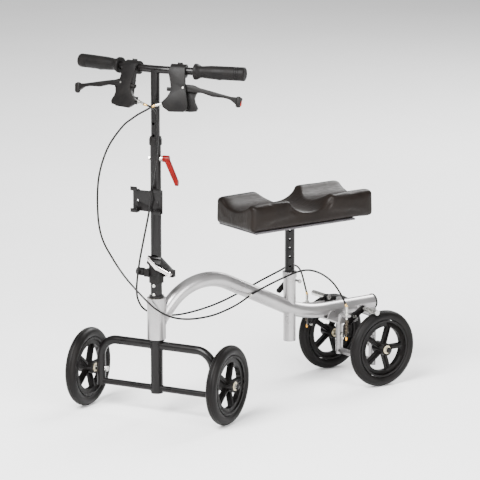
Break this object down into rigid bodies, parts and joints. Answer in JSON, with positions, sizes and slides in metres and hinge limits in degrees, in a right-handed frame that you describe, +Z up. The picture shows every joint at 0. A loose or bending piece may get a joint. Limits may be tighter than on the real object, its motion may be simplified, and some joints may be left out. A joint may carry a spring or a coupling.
{
  "type": "knee scooter",
  "caption": "Steerable knee scooter with a padded knee rest, folding height-adjustable handlebar, spoked wheels and cable brakes on the rear tyres.",
  "frame": {"origin": "on the floor under the middle of the whole scooter's bounding box", "axes": "+X forward, +Y to the rider's left, +Z up"},
  "size_m": [0.9069, 0.4607, 0.8955],
  "materials": {
    "satin_silver": "satin silver powder coat",
    "black_coat": "semi-gloss black powder coat",
    "zinc": "bright zinc plate",
    "chrome": "polished chrome",
    "black_plastic": "matte black moulding",
    "red_plastic": "red moulding",
    "grip_rubber": "soft black grip",
    "tyre": "solid black tyre",
    "pad": "smooth moulded skin over foam",
    "cable_jacket": "black cable jacket",
    "base_board": "dark grey board",
    "bearing_steel": "ground steel ring"
  },
  "bodies": {
    "frame": {"main_tube": "satin_silver", "head_tube": "satin_silver", "headset_bearings": "bearing_steel", "seat_tube": "satin_silver", "seat_clamp": "satin_silver", "tail_plug": "black_plastic", "rear_top_bar": "satin_silver", "rear_posts": "satin_silver", "rear_lower_bar": "satin_silver", "cable_stop_bracket": "satin_silver", "rear_adjusters": "zinc", "cable_guide": "zinc", "rear_axle_bolts": "zinc", "rear_wheel_bearings": "bearing_steel", "brake_pivot_bolts": "zinc", "rear_brake_cables": "cable_jacket", "front_brake_cables": "cable_jacket", "brake_springs": "zinc"},
    "fork": {"fork_tube": "black_coat", "fork_loop": "black_coat", "fork_cross_tube": "black_coat", "crown_race": "black_coat", "front_axle_bolts": "zinc", "front_wheel_bearings": "bearing_steel", "lower_hinge_casting": "black_coat", "hinge_pin": "zinc"},
    "fold_knob": {"fold_plunger": "black_plastic"},
    "fold_lever": {"fold_lever": "chrome"},
    "column": {"upper_hinge_plate": "zinc", "column_tube": "black_coat", "column_collar": "black_plastic", "height_clamp_bolt": "zinc", "accessory_bracket": "black_coat"},
    "height_lever": {"height_lever": "red_plastic"},
    "handlebar": {"handlebar_stem": "black_coat", "handlebar_bar": "black_coat", "grip_left": "grip_rubber", "grip_right": "grip_rubber", "brake_housing_left": "black_plastic", "brake_housing_right": "black_plastic", "lever_fittings": "zinc"},
    "lever_left": {"brake_lever_left": "black_plastic"},
    "lever_right": {"brake_lever_right": "black_plastic"},
    "knee_rest": {"seat_post": "black_coat", "pad_plate": "base_board", "knee_pad": "pad", "pad_bolts": "zinc"},
    "seat_lever": {"seat_lever": "black_plastic"},
    "wheel_front_left": {"tyre_front_left": "tyre", "rim_front_left": "black_plastic"},
    "wheel_front_right": {"tyre_front_right": "tyre", "rim_front_right": "black_plastic"},
    "wheel_rear_left": {"tyre_rear_left": "tyre", "rim_rear_left": "black_plastic"},
    "wheel_rear_right": {"tyre_rear_right": "tyre", "rim_rear_right": "black_plastic"},
    "arm_left": {"brake_arm_left": "black_coat", "brake_roller_left": "zinc"},
    "arm_right": {"brake_arm_right": "black_coat", "brake_roller_right": "zinc"}
  },
  "joints": [
    {"name": "steering", "type": "hinge", "parent": "frame", "child": "fork", "pos_m": [0.27252, 0, 0.25], "axis": [0, 0, 1], "range_deg": [-67, 13], "deforming": ["front_brake_cables"]},
    {"name": "column_fold", "type": "hinge", "parent": "fork", "child": "column", "pos_m": [0.22797, -0.0227, 0.357], "axis": [0.454, -0.891, 0], "range_deg": [0, 50], "deforming": ["front_brake_cables"]},
    {"name": "fold_knob_pull", "type": "slide", "parent": "fork", "child": "fold_knob", "axis": [0.454, -0.891, 0], "range_m": [0, 0.005], "stiffness_N_per_m": 400},
    {"name": "fold_lever_swing", "type": "hinge", "parent": "fork", "child": "fold_lever", "pos_m": [0.24862, 0.02486, 0.362], "axis": [-0.891, -0.454, 0], "range_deg": [0, 100]},
    {"name": "handlebar_height", "type": "slide", "parent": "column", "child": "handlebar", "axis": [0, 0, 1], "range_m": [-0.06, 0.12], "deforming": ["front_brake_cables"]},
    {"name": "height_lever_turn", "type": "hinge", "parent": "column", "child": "height_lever", "pos_m": [0.27252, 0, 0.653], "axis": [-0.6293, 0.7771, 0], "range_deg": [-20, 100]},
    {"name": "brake_lever_left", "type": "hinge", "parent": "handlebar", "child": "lever_left", "pos_m": [0.2348, 0.07484, 0.83425], "axis": [0.78, 0.5772, 0.2419], "range_deg": [0, 12], "stiffness_Nm_per_rad": 1.5, "springref_deg": -2.86},
    {"name": "brake_lever_right", "type": "hinge", "parent": "handlebar", "child": "lever_right", "pos_m": [0.31089, -0.0745, 0.83425], "axis": [-0.9254, -0.2918, -0.2419], "range_deg": [0, 12], "stiffness_Nm_per_rad": 1.5, "springref_deg": -2.86},
    {"name": "knee_rest_height", "type": "slide", "parent": "frame", "child": "knee_rest", "axis": [0, 0, 1], "range_m": [-0.06, 0.05]},
    {"name": "seat_lever_turn", "type": "hinge", "parent": "frame", "child": "seat_lever", "pos_m": [-0.15948, -0.019, 0.285], "axis": [0, -1, 0], "range_deg": [-40, 40]},
    {"name": "wheel_front_left_spin", "type": "hinge", "parent": "fork", "child": "wheel_front_left", "pos_m": [0.18217, 0.17731, 0.1], "axis": [-0.454, 0.891, 0], "continuous": true},
    {"name": "wheel_front_right_spin", "type": "hinge", "parent": "fork", "child": "wheel_front_right", "pos_m": [0.36286, -0.17731, 0.1], "axis": [-0.454, 0.891, 0], "continuous": true},
    {"name": "wheel_rear_left_spin", "type": "hinge", "parent": "frame", "child": "wheel_rear_left", "pos_m": [-0.35348, 0.111, 0.1], "axis": [0, 1, 0], "continuous": true},
    {"name": "wheel_rear_right_spin", "type": "hinge", "parent": "frame", "child": "wheel_rear_right", "pos_m": [-0.35348, -0.111, 0.1], "axis": [0, 1, 0], "continuous": true},
    {"name": "brake_arm_left", "type": "hinge", "parent": "frame", "child": "arm_left", "pos_m": [-0.28748, 0.0765, 0.187], "axis": [0, -1, 0], "range_deg": [0, 4.5], "deforming": ["brake_springs"]},
    {"name": "brake_arm_right", "type": "hinge", "parent": "frame", "child": "arm_right", "pos_m": [-0.28748, -0.0765, 0.187], "axis": [0, -1, 0], "range_deg": [0, 4.5], "deforming": ["brake_springs"]}
  ],
  "couplings": [
    {"joint": "brake_arm_left", "follows": "brake_lever_left", "ratio": 0.375},
    {"joint": "brake_arm_right", "follows": "brake_lever_right", "ratio": 0.375}
  ]
}
